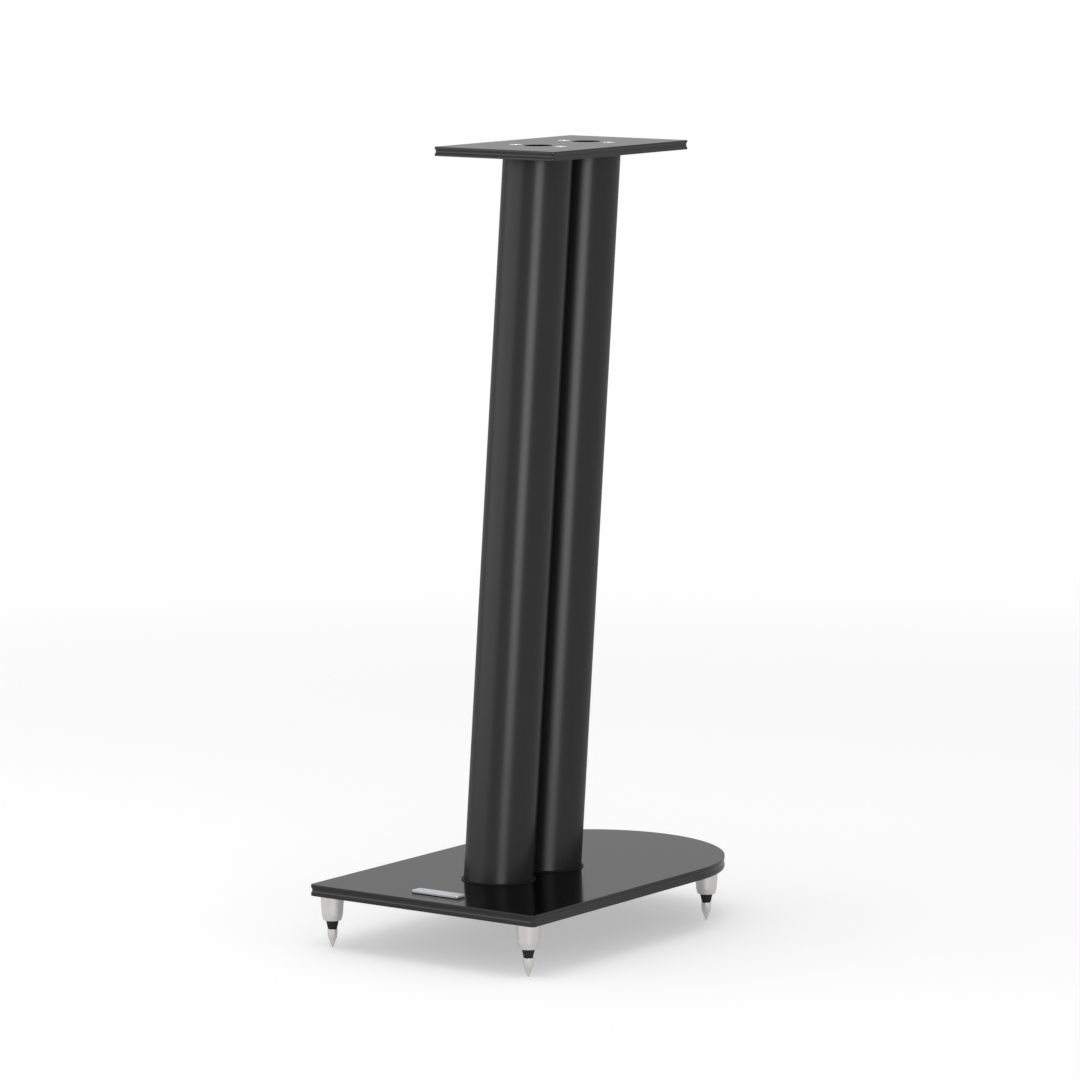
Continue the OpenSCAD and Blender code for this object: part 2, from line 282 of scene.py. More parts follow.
def moulded_rubber(name, base):
    """Moulded black rubber: matt, a little greyer where it has been handled."""
    return grained(
        name, base, drift=0.25, cloud=6, grain=0.5, roughness=(0.55, 0.7), relief=0.00001,
        values={"Specular IOR Level": 0.2},
    )


def foam_tape(base, cell=0.35, relief=0.00005):
    """Closed-cell foam tape: matt black with fine cells, which have a width in millimetres and a
    depth in metres."""
    made, tree, shader, place = start_material("closed_cell_foam_tape")
    cells = add_node(tree, "ShaderNodeTexVoronoi", {"Vector": place, "Scale": per_mm(cell)})
    dark, light = shades(base, 0.3)
    tone = add_node(
        tree, "ShaderNodeMix", {"Factor": cells.outputs["Distance"], "A": light, "B": dark},
        data_type="RGBA",
    )
    tree.links.new(tone.outputs["Result"], shader.inputs["Base Color"])
    bump = add_node(
        tree, "ShaderNodeBump",
        {"Height": cells.outputs["Distance"], "Strength": 1.0, "Distance": relief},
    )
    tree.links.new(bump.outputs["Normal"], shader.inputs["Normal"])
    shader.inputs["Roughness"].default_value = 0.9
    return made


RINGS = (60, 60, 1)  # stretch of the level rings that a lathe leaves
LINES = (80, 1, 1)  # stretch of the lines that a belt leaves along the badge bar


def bare_metal(name, base, grain, roughness, relief, stretch=(1, 1, 1)):
    """Bare or plated metal, whose colour hardly drifts."""
    return grained(
        name, base, drift=0.06, cloud=14, grain=grain, roughness=roughness, relief=relief,
        values={"Metallic": 1.0}, stretch=stretch,
    )


def turned_aluminium(base):
    """Satin turned aluminium: pale grey, with the fine level rings that a lathe tool leaves. The
    rings of 0.1 mm are drawn at 0.35 mm so that they show."""
    return bare_metal(
        "turned_aluminium", base, grain=0.35, roughness=(0.3, 0.38), relief=0.000003,
        stretch=RINGS,
    )


def brushed_aluminium(base):
    """Satin brushed aluminium: a soft even sheen over fine lines along the bar. The lines of about
    0.1 mm are drawn at 0.3 mm so that they show."""
    return bare_metal(
        "brushed_aluminium", base, grain=0.3, roughness=(0.42, 0.5), relief=0.000001,
        stretch=LINES,
    )


def nickel_plate(base):
    """Bright nickel plate on turned steel: a clear, slightly warm reflection with faint rings, which
    are drawn at 0.4 mm so that they show."""
    return bare_metal(
        "bright_nickel_plate", base, grain=0.4, roughness=(0.16, 0.24), relief=0.0000015,
        stretch=RINGS,
    )


def zinc_plate(base):
    """Bright zinc plate on steel: cool and shiny, a little cloudy."""
    return bare_metal("bright_zinc_plate", base, grain=2.5, roughness=(0.08, 0.16), relief=0.000001)


def turned_steel(base):
    """Bare turned steel: mid grey, under a film of oil, with tool rings that are drawn at 0.5 mm so
    that they show."""
    return bare_metal(
        "turned_steel", base, grain=0.5, roughness=(0.35, 0.48), relief=0.000006, stretch=RINGS
    )


def seen_or_mirrored(tree, path):
    """1 for a ray from the camera or from a reflection or refraction, and 0 for one that lights."""
    either = add_node(
        tree, "ShaderNodeMath", {0: path.outputs["Is Camera Ray"], 1: path.outputs["Is Glossy Ray"]},
        operation="ADD",
    )
    any_of_three = add_node(
        tree, "ShaderNodeMath", {0: either.outputs[0], 1: path.outputs["Is Transmission Ray"]},
        operation="ADD", use_clamp=True,
    )
    return any_of_three.outputs[0]


def paper_sweep(base, lift, clear, gone):
    """White paper under soft light, lifted by a share where it is seen. It fades into the white
    background from the first distance to the second, and doesn't hide the stand from below."""
    made, tree, shader, place = start_material("white_paper_sweep")
    shader.inputs["Roughness"].default_value = 0.9
    shader.inputs["Specular IOR Level"].default_value = 0.1
    grain = add_node(
        tree, "ShaderNodeTexNoise", {"Vector": place, "Scale": per_mm(40), "Detail": 4.0}
    )
    dark, light = shades(base, 0.004)
    tone = add_node(
        tree, "ShaderNodeMix", {"Factor": grain.outputs["Fac"], "A": dark, "B": light},
        data_type="RGBA",
    )
    tree.links.new(tone.outputs["Result"], shader.inputs["Base Color"])
    away = add_node(tree, "ShaderNodeVectorMath", {0: place}, operation="LENGTH")
    fade = add_node(
        tree, "ShaderNodeMapRange",
        {"Value": away.outputs["Value"], "From Min": clear, "From Max": gone},
        interpolation_type="SMOOTHSTEP",
    )
    path = add_node(tree, "ShaderNodeLightPath")
    seen = seen_or_mirrored(tree, path)
    lifted = add_node(tree, "ShaderNodeMath", {0: seen, 1: lift}, operation="MULTIPLY")
    tree.links.new(lifted.outputs[0], shader.inputs["Emission Strength"])
    shader.inputs["Emission Color"].default_value = (1, 1, 1, 1)
    share = add_node(
        tree, "ShaderNodeMath", {0: seen, 1: fade.outputs["Result"]}, operation="MULTIPLY"
    )
    white = add_node(tree, "ShaderNodeEmission", {"Strength": 1.0})
    floor = add_node(
        tree, "ShaderNodeMixShader",
        {0: share.outputs[0], 1: shader.outputs["BSDF"], 2: white.outputs["Emission"]},
    )
    side = add_node(tree, "ShaderNodeNewGeometry").outputs["Backfacing"]
    under = add_node(
        tree, "ShaderNodeMath", {0: side, 1: path.outputs["Is Camera Ray"]}, operation="MULTIPLY"
    )
    clear_shader = add_node(tree, "ShaderNodeBsdfTransparent")
    top = add_node(
        tree, "ShaderNodeMixShader",
        {0: under.outputs[0], 1: floor.outputs["Shader"], 2: clear_shader.outputs["BSDF"]},
    )
    output = next(n for n in tree.nodes if n.type == "OUTPUT_MATERIAL")
    tree.links.new(top.outputs["Shader"], output.inputs["Surface"])
    return made


# Shapes


def arc(centre, radius, start, end, steps):
    """Points on a round stretch of a section, from one angle in degrees to another."""
    angles = [math.radians(start + (end - start) * i / steps) for i in range(steps + 1)]
    return [(centre[0] + radius * math.cos(a), centre[1] + radius * math.sin(a)) for a in angles]


def curve(start, meet, end, steps):
    """Points on a curve that leaves its start towards a meeting point and reaches its end from
    there."""
    shares = [i / steps for i in range(steps + 1)]
    return [tuple((1 - t) ** 2 * start + 2 * t * (1 - t) * meet + t**2 * end) for t in shares]


def draw_line(bm, points):
    """Joins a few corners with edges and returns both."""
    corners = [bm.verts.new(p) for p in points]
    return corners + [bm.edges.new(pair) for pair in zip(corners, corners[1:])]


def edge_section(low, high, arris, cove_width=0.0, cove_depth=0.0, steps=5):
    """(inset, height) points of a plate's edge, from its lower face to its upper one."""
    points = arc((arris, low + arris), arris, 270, 180, steps)
    if cove_depth:
        middle = (low + high) / 2
        radius = (cove_width**2 / 4 + cove_depth**2) / (2 * cove_depth)
        half = math.degrees(math.asin(cove_width / 2 / radius))
        points += arc((cove_depth - radius, middle), radius, -half, half, 3 * steps)
    return points + arc((arris, high - arris), arris, 180, 90, steps)


def start_edge(bm, low, high, corner, arris, *cove):
    """Draws the section of a plate's edge at the left end of its straight front."""
    points = edge_section(low.z, high.z, arris, *cove)
    return draw_line(bm, [(low.x + corner, low.y + inset, z) for inset, z in points])


def round_rectangle(low, high, corner):
    """The moves that carry a section once round a rectangle with rounded corners."""
    run = Vector((high.x - low.x - 2 * corner, 0, 0))
    side = Vector((0, high.y - low.y - 2 * corner, 0))
    moves = []
    for x, y, way in (
        (high.x - corner, low.y + corner, run),
        (high.x - corner, high.y - corner, side),
        (low.x + corner, high.y - corner, -run),
        (low.x + corner, low.y + corner, -side),
    ):
        moves += [(way, STILL, 0), (STILL, (x, y, 0), QUARTER)]
    return moves


def sweep(bm, section, moves, facets):
    """Carries a section along straight runs and round turns. A move is (run, centre, angle)."""
    for run, centre, angle in moves:
        steps = max(1, round(abs(angle) / math.tau * facets))
        made = bmesh.ops.spin(
            bm, geom=section, cent=centre, axis=UP, dvec=Vector(run) / steps, angle=angle,
            steps=steps, use_merge=False, use_normal_flip=False, use_duplicate=False,
        )
        section = made["geom_last"]


def turn(bm, points, centre, facets):
    """Spins a section of (radius, height) points fully round an upright axis."""
    section = draw_line(bm, [(centre[0] + r, centre[1], z) for r, z in points])
    bmesh.ops.spin(
        bm, geom=section, cent=(centre[0], centre[1], 0), axis=UP, angle=math.tau, steps=facets,
        use_merge=True, use_normal_flip=False, use_duplicate=False,
    )


def merge(bm):
    """Joins corners that touch and takes out what has no size."""
    bmesh.ops.remove_doubles(bm, verts=bm.verts, dist=MERGE)
    bmesh.ops.dissolve_degenerate(bm, edges=bm.edges, dist=MERGE)


def rim_at(bm, height):
    """The open edges that lie level at a height."""
    return [
        e for e in bm.edges
        if e.is_boundary and all(abs(v.co.z - height) < LEVEL for v in e.verts)
    ]


def close_levels(bm, *heights):
    """Merges the mesh, then fills the flat face at each height and leaves its holes open."""
    merge(bm)
    for height in heights:
        bmesh.ops.triangle_fill(
            bm, use_beauty=True, use_dissolve=False, edges=rim_at(bm, height), normal=UP
        )


def edges_among(bm, corners):
    """The edges that join some corners to each other."""
    chosen = set(corners)
    return [e for e in bm.edges if all(v in chosen for v in e.verts)]


def step_rim(bm, rim, centre, shrink, rise):
    """Carries a rim up or down while it shrinks to a share of its width, and returns the rim at
    the end."""
    made = bmesh.ops.extrude_edge_only(bm, edges=rim)
    corners = [g for g in made["geom"] if isinstance(g, bmesh.types.BMVert)]
    bmesh.ops.translate(bm, verts=corners, vec=(0, 0, rise))
    bmesh.ops.scale(
        bm, verts=corners, vec=(shrink, shrink, 1),
        space=Matrix.Translation((-centre[0], -centre[1], 0)),
    )
    return edges_among(bm, corners)


def round_edges(bm, chosen, radius, steps):
    """Rounds the edges for which a test is true."""
    bmesh.ops.bevel(
        bm, geom=[e for e in bm.edges if chosen(e)], offset=radius, affect="EDGES",
        segments=steps, profile=0.5, material=-1,
    )


# Pieces


def add_piece(name, bm, material, body, nodes):
    """Makes a closed mesh a piece of the stand that stands for CAD nodes."""
    merge(bm)
    bmesh.ops.recalc_face_normals(bm, faces=bm.faces)
    if not all(e.is_manifold for e in bm.edges):
        raise RuntimeError(f"{name} has an open or shared edge")
    mesh = bpy.data.meshes.new(name)
    bm.to_mesh(mesh)
    bm.free()
    mesh.shade_smooth()
    mesh.set_sharp_from_angle(angle=SHARP)
    mesh.materials.append(material)
    piece = bpy.data.objects.new(name, mesh)
    bpy.context.scene.collection.objects.link(piece)
    normals = piece.modifiers.new("Face weighted normals", "WEIGHTED_NORMAL")
    normals.keep_sharp = True
    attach(piece, body)
    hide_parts(*nodes)
    return piece


def dress(nodes, material):
    """Gives CAD nodes whose shape is right a finish."""
    for node in nodes:
        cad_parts[node].material_slots[0].material = material


def middle_of(node):
    """The middle of a node's box."""
    low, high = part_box(node)
    return (low + high) / 2


def screw_places(node, head):
    """Centres of four screws, from the box of their node and the diameter of their heads."""
    low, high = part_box(node)
    reach = head / 2
    return [
        (x, y)
        for x in (low.x + reach, high.x - reach)
        for y in (low.y + reach, high.y - reach)
    ]


def countersunk_hole(sizes, shank, head, face, far):
    """(radius, height) points of a hole from a face with a countersink to the far face."""
    down = -1 if far < face else 1
    mouth = head / 2 + sizes.head_gap
    hole = shank / 2 + sizes.shank_gap
    rim = face + down * (sizes.head_sink + sizes.head_rim)
    return [(mouth, face), (mouth, rim), (hole, rim + down * (mouth - hole)), (hole, far)]


def countersunk_screw(bm, sizes, centre, shank, head, socket, face, end):
    """A screw whose head lies at a face, its shank towards end, with a key socket in the head."""
    down = -1 if end < face else 1
    turn(
        bm,
        [
            (head / 2 - sizes.head_rim / 2, face),
            (head / 2, face + down * sizes.head_rim / 2),
            (head / 2, face + down * sizes.head_rim),
            (shank / 2, face + down * (sizes.head_rim + head / 2 - shank / 2)),
            (shank / 2, end - down * sizes.shank_lead),
            (shank / 2 - sizes.shank_lead, end),
            (0, end),
        ],
        centre,
        sizes.small_facets,
    )
    reach = socket / 2 / math.cos(math.pi / 6)
    lead = sizes.socket_lead
    made = bmesh.ops.create_circle(
        bm, cap_ends=False, segments=6, radius=reach + lead,
        matrix=Matrix.Translation((*centre, face)),
    )
    rim = edges_among(bm, made["verts"])
    for drop, shrink in ((lead, reach / (reach + lead)), (sizes.socket_depth - lead, 1)):
        rim = step_rim(bm, rim, centre, shrink, down * drop)
    bmesh.ops.contextual_create(bm, geom=rim)


class SPEAKERSTAND_OT_make_plates(bpy.types.Operator):
    """Make the lacquered top plate and base plate, with coved edges and all their holes"""

    bl_idname = "speakerstand.make_plates"
    bl_label = "Plates"

    def execute(self, context):
        sizes = context.scene.stand_sizes
        paint = satin_lacquer(context.scene.stand_colours.lacquer)
        self.make_top(sizes, paint)
        self.make_base(sizes, paint)
        return {"FINISHED"}

    def start(self, sizes, low, high, corner):
        """A mesh with the section of a plate's coved edge."""
        bm = bmesh.new()
        cove = sizes.cove_width, sizes.cove_depth
        return bm, start_edge(bm, low, high, corner, sizes.arris, *cove)

    def make_top(self, sizes, paint):
        """A rectangle with four countersunk holes and a filler hole over each column."""
        low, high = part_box("top_plate")
        bm, section = self.start(sizes, low, high, sizes.top_corner)
        sweep(bm, section, round_rectangle(low, high, sizes.top_corner), sizes.facets)
        places = screw_places("top_plate_screws", sizes.top_screw_head)
        hole = countersunk_hole(sizes, sizes.top_screw, sizes.top_screw_head, high.z, low.z)
        for place in places:
            turn(bm, hole, place, sizes.small_facets)
        edge = sizes.filler_arris
        radius = sizes.filler / 2
        for y in sorted({y for _, y in places}):
            mouth = arc((radius + edge, high.z - edge), edge, 90, 180, steps=4)
            turn(bm, mouth + [(radius, low.z)], (0, y), sizes.facets)
        close_levels(bm, low.z, high.z)
        add_piece("lacquered_top_plate", bm, paint, "stand", ["top_plate"])

    def make_base(self, sizes, paint):
        """A straight front and sides and a half-round rear, with the holes in its underside."""
        low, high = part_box("base_plate")
        corner = sizes.base_corner
        bm, section = self.start(sizes, low, high, corner)
        run = Vector((high.x - low.x - 2 * corner, 0, 0))
        curve_y = high.y - (high.x - low.x) / 2
        side = Vector((0, curve_y - low.y - corner, 0))
        moves = [
            (run, STILL, 0),
            (STILL, (high.x - corner, low.y + corner, 0), QUARTER),
            (side, STILL, 0),
            (STILL, (0, curve_y, 0), 2 * QUARTER),
            (-side, STILL, 0),
            (STILL, (low.x + corner, low.y + corner, 0), QUARTER),
        ]
        sweep(bm, section, moves, sizes.facets)
        hole = countersunk_hole(sizes, sizes.base_screw, sizes.base_screw_head, low.z, high.z)
        for place in screw_places("base_screws", sizes.base_screw_head):
            turn(bm, hole, place, sizes.small_facets)
        radius = sizes.stud / 2 + sizes.thread_gap
        end = low.z + sizes.stud_hole
        for foot in FEET:
            place = middle_of(f"{foot}_foot").xy
            turn(bm, [(radius, low.z), (radius, end), (0, end)], place, sizes.small_facets)
        close_levels(bm, low.z, high.z)
        add_piece("lacquered_base_plate", bm, paint, "stand", ["base_plate"])


class SPEAKERSTAND_OT_make_columns(bpy.types.Operator):
    """Make the two powder-coated tubes, which lean back and are cut level at both ends"""

    bl_idname = "speakerstand.make_columns"
    bl_label = "Columns"

    def execute(self, context):
        sizes = context.scene.stand_sizes
        paint = powder_coat(context.scene.stand_colours.powder)
        for column in COLUMNS:
            node = f"{column}_column"
            low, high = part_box(node)
            bm = bmesh.new()
            outer = (high.x - low.x) / 2
            lean = self.lean_of(low, high, outer)
            for radius in (outer, outer - sizes.tube_wall):
                self.draw_tube(bm, radius, lean, low, high, sizes.facets)
            merge(bm)
            for level in (low.z, high.z):
                bmesh.ops.bridge_loops(bm, edges=rim_at(bm, level))
                self.bevel_end(bm, outer, lean, low, high, level, sizes)
            add_piece(f"coated_{column}_column", bm, paint, "stand", [node])
        return {"FINISHED"}

    def lean_of(self, low, high, radius):
        """The angle at which a round tube, cut level, fills its box: the box's depth is its height
        times the angle's tangent, plus the tube's diameter over the angle's cosine."""
        depth, height = high.y - low.y, high.z - low.z
        return math.acos(2 * radius / math.hypot(depth, height)) - math.atan2(height, depth)

    def draw_tube(self, bm, radius, lean, low, high, facets):
        """A leaning open tube, cut level at the heights of two corners."""
        place = Matrix.Translation((low + high) / 2) @ Matrix.Rotation(-lean, 4, "X")
        to_cut_off = 2 * radius  # at each end
        made = bmesh.ops.create_cone(
            bm, cap_ends=False, segments=facets, radius1=radius, radius2=radius,
            depth=(high.z - low.z) / math.cos(lean) + 2 * to_cut_off, matrix=place,
        )
        faces = {f for v in made["verts"] for f in v.link_faces}
        edges = {e for f in faces for e in f.edges}
        geometry = made["verts"] + list(edges) + list(faces)
        for level, way in ((low.z, -UP), (high.z, UP)):
            cut = bmesh.ops.bisect_plane(
                bm, geom=geometry, dist=0, plane_co=(0, 0, level), plane_no=way, clear_outer=True
            )
            geometry = [g for g in cut["geom"] if g.is_valid]

    def bevel_end(self, bm, outer, lean, low, high, level, sizes):
        """Breaks the sharp outer edge of one end."""
        share = (level - low.z) / (high.z - low.z)
        reach = outer / math.cos(lean)
        centre = low.y + reach + share * (high.y - low.y - 2 * reach)
        middle_of_wall = 1 - sizes.tube_wall / 2 / outer

        def on_rim(edge):
            return all(
                abs(v.co.z - level) < LEVEL
                and math.hypot(v.co.x / outer, (v.co.y - centre) / reach) > middle_of_wall
                for v in edge.verts
            )

        round_edges(bm, on_rim, sizes.tube_end, steps=2)


class SPEAKERSTAND_OT_make_column_rings(bpy.types.Operator):
    """Make the black rubber ring under each column, with the holes for the base screws"""

    bl_idname = "speakerstand.make_column_rings"
    bl_label = "Column rings"

    def execute(self, context):
        sizes = context.scene.stand_sizes
        rubber = moulded_rubber("soft_black_rubber", context.scene.stand_colours.rubber)
        places = screw_places("base_screws", sizes.base_screw_head)
        hole = sizes.base_screw / 2 + sizes.shank_gap
        for column in COLUMNS:
            node = f"{column}_column_ring"
            low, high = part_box(node)
            reach = (high.x - low.x) / 2
            edge = sizes.ring_round
            upper = arc((reach - edge, high.z - edge), edge, 0, 90, steps=5)
            bm = bmesh.new()
            turn(bm, [(reach, low.z)] + upper, middle_of(node).xy, sizes.facets)
            for x, y in places:
                if low.y < y < high.y:
                    turn(bm, [(hole, low.z), (hole, high.z)], (x, y), sizes.small_facets)
            close_levels(bm, low.z, high.z)
            add_piece(f"rubber_{column}_column_ring", bm, rubber, "stand", [node])
        return {"FINISHED"}


class SPEAKERSTAND_OT_make_screws(bpy.types.Operator):
    """Make the bright countersunk screws of both plates, and plate the studs above the feet"""

    bl_idname = "speakerstand.make_screws"
    bl_label = "Screws and studs"

    def execute(self, context):
        sizes = context.scene.stand_sizes
        zinc = zinc_plate(context.scene.stand_colours.zinc)
        top = sizes.top_screw, sizes.top_screw_head, sizes.top_socket
        base = sizes.base_screw, sizes.base_screw_head, sizes.base_socket
        for name, node, heads_up, (shank, head, socket) in (
            ("plated_top_screws", "top_plate_screws", True, top),
            ("plated_base_screws", "base_screws", False, base),
        ):
            low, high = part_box(node)
            face, end = (high.z, low.z) if heads_up else (low.z, high.z)
            bm = bmesh.new()
            for place in screw_places(node, head):
                countersunk_screw(bm, sizes, place, shank, head, socket, face, end)
            close_levels(bm, face)
            add_piece(name, bm, zinc, "stand", [node])
        dress(["foot_studs"], zinc)
        return {"FINISHED"}


class SPEAKERSTAND_OT_dress_plugs(bpy.types.Operator):
    """Give the four plugs inside the columns bare turned steel"""

    bl_idname = "speakerstand.dress_plugs"
    bl_label = "Plugs"

    def execute(self, context):
        steel = turned_steel(context.scene.stand_colours.steel)
        dress([f"{c}_{end}_plug" for c in COLUMNS for end in ("upper", "lower")], steel)
        return {"FINISHED"}


class SPEAKERSTAND_OT_make_badge(bpy.types.Operator):
    """Make the bare brushed bar near the base's front edge, and dress the foam pad under it"""

    bl_idname = "speakerstand.make_badge"
    bl_label = "Badge bar"

    def execute(self, context):
        sizes = context.scene.stand_sizes
        colours = context.scene.stand_colours
        low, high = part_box("badge_bar")
        bm = bmesh.new()
        section = start_edge(bm, low, high, sizes.badge_corner, sizes.badge_arris)
        sweep(bm, section, round_rectangle(low, high, sizes.badge_corner), sizes.small_facets)
        close_levels(bm, low.z, high.z)
        brushed = brushed_aluminium(colours.badge)
        add_piece("brushed_badge_bar", bm, brushed, "stand", ["badge_bar"])
        dress(["badge_pad"], foam_tape(colours.foam))
        return {"FINISHED"}


class SPEAKERSTAND_OT_make_feet(bpy.types.Operator):
    """Make the four turned aluminium foot bodies, with the holes for spike and stud"""

    bl_idname = "speakerstand.make_feet"
    bl_label = "Foot bodies"

    def execute(self, context):
        sizes = context.scene.stand_sizes
        turned = turned_aluminium(context.scene.stand_colours.aluminium)
        for foot in FEET:
            node = f"{foot}_foot"
            low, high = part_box(node)
            width = (high.x - low.x) / 2
            spike = sizes.spike_thread / 2 + sizes.thread_gap
            stud = sizes.stud / 2 + sizes.thread_gap
            shoulder_z = low.z + sizes.foot_end_height
            centre = middle_of(node).xy
            bm = bmesh.new()
            turn(
                bm,
                [
                    (0, low.z + sizes.spike_hole),
                    (spike, low.z + sizes.spike_hole),
                    (spike, low.z),
                    (sizes.foot_end / 2, low.z),
                    (sizes.shoulder / 2, shoulder_z),
                    (width, high.z),
                    (stud, high.z),
                    (stud, high.z - sizes.body_stud_hole),
                    (0, high.z - sizes.body_stud_hole),
                ],
                centre,
                sizes.small_facets,
            )
            merge(bm)

            def on_rim(edge, centre=centre, levels=(low.z, shoulder_z)):
                ends = [v.co for v in edge.verts]
                level = any(all(abs(end.z - z) < LEVEL for end in ends) for z in levels)
                return level and all((end.xy - centre).length > sizes.stud for end in ends)

            round_edges(bm, on_rim, sizes.foot_round, steps=4)
            add_piece(f"turned_{foot}_foot", bm, turned, "stand", [node])
        return {"FINISHED"}


class SPEAKERSTAND_OT_make_collars(bpy.types.Operator):
    """Make the black ring below each foot body"""

    bl_idname = "speakerstand.make_collars"
    bl_label = "Foot rings"

    def execute(self, context):
        sizes = context.scene.stand_sizes
        rubber = moulded_rubber("hard_dark_rubber", context.scene.stand_colours.hard_rubber)
        for foot in FEET:
            node = f"{foot}_collar"
            low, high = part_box(node)
            top = (high.x - low.x) / 2
            hole = sizes.neck / 2 + sizes.thread_gap
            bottom = sizes.collar_low / 2
            edge = sizes.collar_round
            slope = (top - bottom) / (high.z - low.z)
            bm = bmesh.new()
            section = [
                (hole, low.z),
                (bottom - edge, low.z),
                (bottom + slope * edge, low.z + edge),
                (top - slope * edge, high.z - edge),
                (top - edge, high.z),
                (hole, high.z),
                (hole, low.z),
            ]
            turn(bm, section, middle_of(node).xy, sizes.small_facets)
            add_piece(
                f"rubber_{foot}_collar", bm, rubber, f"{foot}_slider", [node]
            )
        return {"FINISHED"}


class SPEAKERSTAND_OT_make_spikes(bpy.types.Operator):
    """Make the four plated spikes, each with a real thread above its neck"""

    bl_idname = "speakerstand.make_spikes"
    bl_label = "Spikes"

    def execute(self, context):
        sizes = context.scene.stand_sizes
        nickel = nickel_plate(context.scene.stand_colours.nickel)
        for foot in FEET:
            node = f"{foot}_spike"
            centre = middle_of(node).xy
            bm = bmesh.new()
            self.draw_thread(bm, sizes, foot, node, centre)
            self.draw_body(bm, sizes, foot, node, centre)
            close_levels(bm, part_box(f"{foot}_foot")[0].z)
            add_piece(
                f"plated_{foot}_spike", bm, nickel, f"{foot}_turner", [node]
            )
        return {"FINISHED"}

    def draw_body(self, bm, sizes, foot, node, centre):
        """Tip, straight cone, curve, shoulder and neck, up to where the thread starts."""
        low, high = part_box(node)
        ring_low, ring_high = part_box(f"{foot}_collar")
        full = (high.x - low.x) / 2
        cone, tip, neck = sizes.cone / 2, sizes.tip / 2, sizes.neck / 2
        slope = (cone - tip) / sizes.cone_height
        meet = Vector((full, low.z + sizes.cone_height + (full - cone) / slope))
        start = Vector((cone, low.z + sizes.cone_height))
        end = Vector((full, low.z + sizes.full_height))
        edge = sizes.spike_round
        points = [(0, low.z), (tip, low.z), *curve(start, meet, end, steps=12)]
        points += arc((full - edge, ring_low.z - edge), edge, 0, 90, steps=4)
        points += [(neck, ring_low.z), (neck, ring_high.z)]
        turn(bm, points, centre, sizes.small_facets)

    def draw_thread(self, bm, sizes, foot, node, centre):
        """A helical thread, cut level at both ends, with a bevelled upper end."""
        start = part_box(f"{foot}_foot")[0].z
        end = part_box(node)[1].z
        crest = sizes.spike_thread / 2
        root = crest - sizes.thread_depth
        pitch, flat, facets = sizes.pitch, sizes.thread_crest, sizes.thread_facets
        to_cut_off = 1  # turn at each end
        turns = math.ceil((end - start) / pitch) + 2 * to_cut_off
        points = [(root, 0), (crest, (pitch - flat) / 2), (crest, (pitch + flat) / 2), (root, pitch)]
        section = draw_line(
            bm, [(centre.x + r, centre.y, start - to_cut_off * pitch + z) for r, z in points]
        )
        bmesh.ops.spin(
            bm, geom=section, cent=(*centre, 0), axis=UP, dvec=(0, 0, pitch / facets),
            angle=turns * math.tau, steps=turns * facets, use_merge=False,
            use_normal_flip=False, use_duplicate=False,
        )
        merge(bm)
        cap = end - sizes.thread_depth
        for level, way in ((start, -UP), (cap, UP)):
            bmesh.ops.bisect_plane(
                bm, geom=[*bm.verts, *bm.edges, *bm.faces], dist=0, plane_co=(0, 0, level),
                plane_no=way, clear_outer=True,
            )
        shrink = (root - sizes.thread_depth) / root
        rim = step_rim(bm, rim_at(bm, cap), centre, shrink, end - cap)
        bmesh.ops.contextual_create(bm, geom=rim)


# Stage


